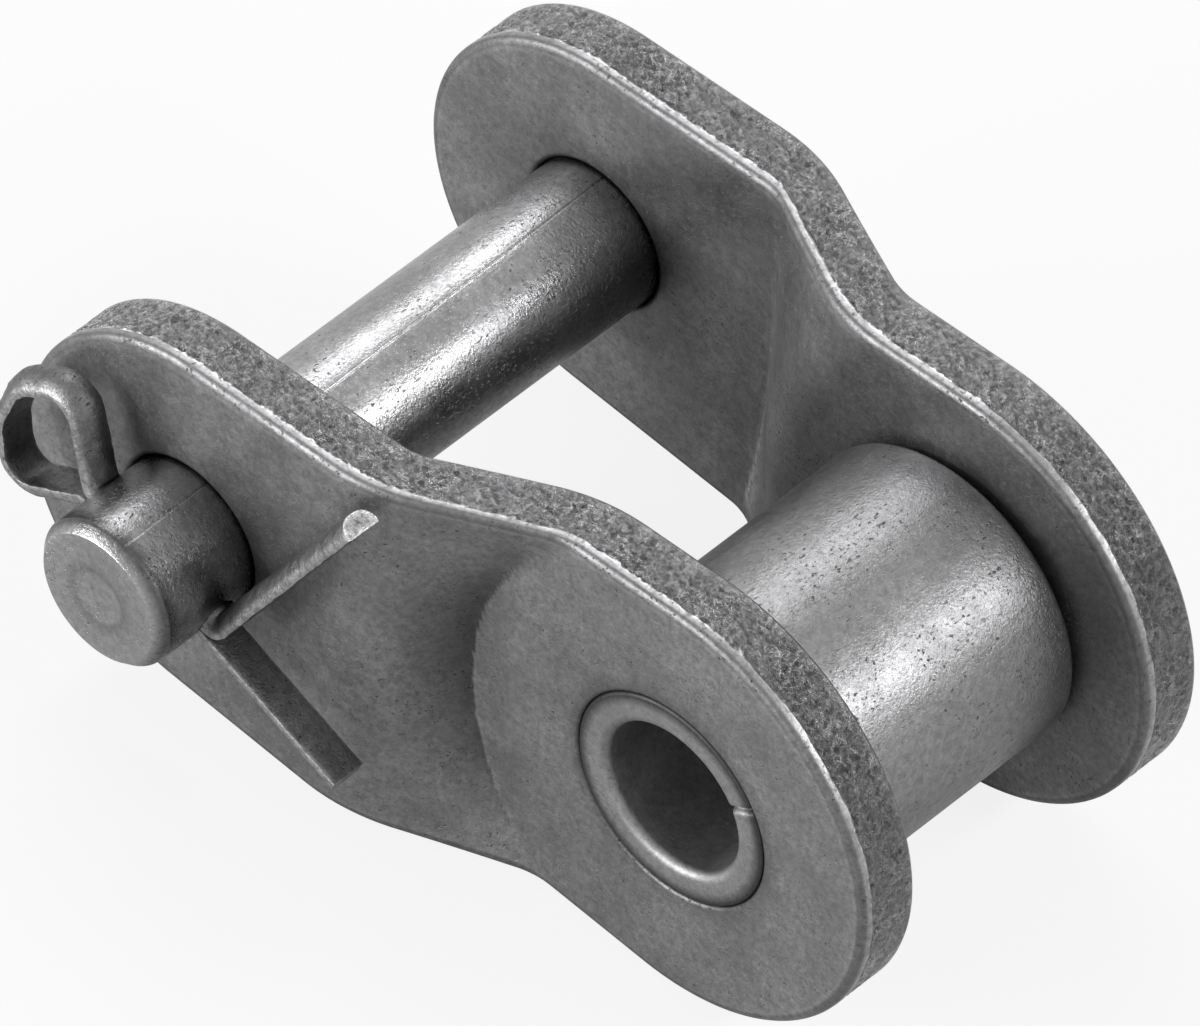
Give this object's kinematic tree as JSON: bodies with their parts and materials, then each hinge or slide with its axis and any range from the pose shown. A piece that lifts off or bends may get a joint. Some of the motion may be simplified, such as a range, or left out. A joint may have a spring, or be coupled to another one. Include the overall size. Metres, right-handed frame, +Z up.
{
  "type": "roller chain connecting link",
  "caption": "Offset half link for a roller chain: two cranked side plates on a bush with a turning roller, and a slip-fit pin held by a bent cotter.",
  "frame": {"origin": "centre of the bush's bore, half way between the side plates", "axes": "+X along the chain from the pin to the bush, +Y along the bush and pin, away from the cotter, +Z up across the height of the plates"},
  "size_m": [0.0586, 0.0446, 0.0286],
  "materials": {
    "side_plate": "blackened pressed steel with burnished edges",
    "bush": "dull grey rolled steel",
    "roller": "satin hardened steel",
    "pin": "satin hardened steel",
    "cotter_pin": "grey drawn half-round wire"
  },
  "bodies": {
    "link_frame": {"cotter_side_plate": "side_plate", "head_side_plate": "side_plate", "bush": "bush", "pin": "pin", "cotter_pin": "cotter_pin"},
    "roller": {"roller": "roller"}
  },
  "joints": [
    {"name": "roller_spin", "type": "hinge", "parent": "link_frame", "child": "roller", "pos_m": [0, 0, 0], "axis": [0, 1, 0], "continuous": true}
  ]
}
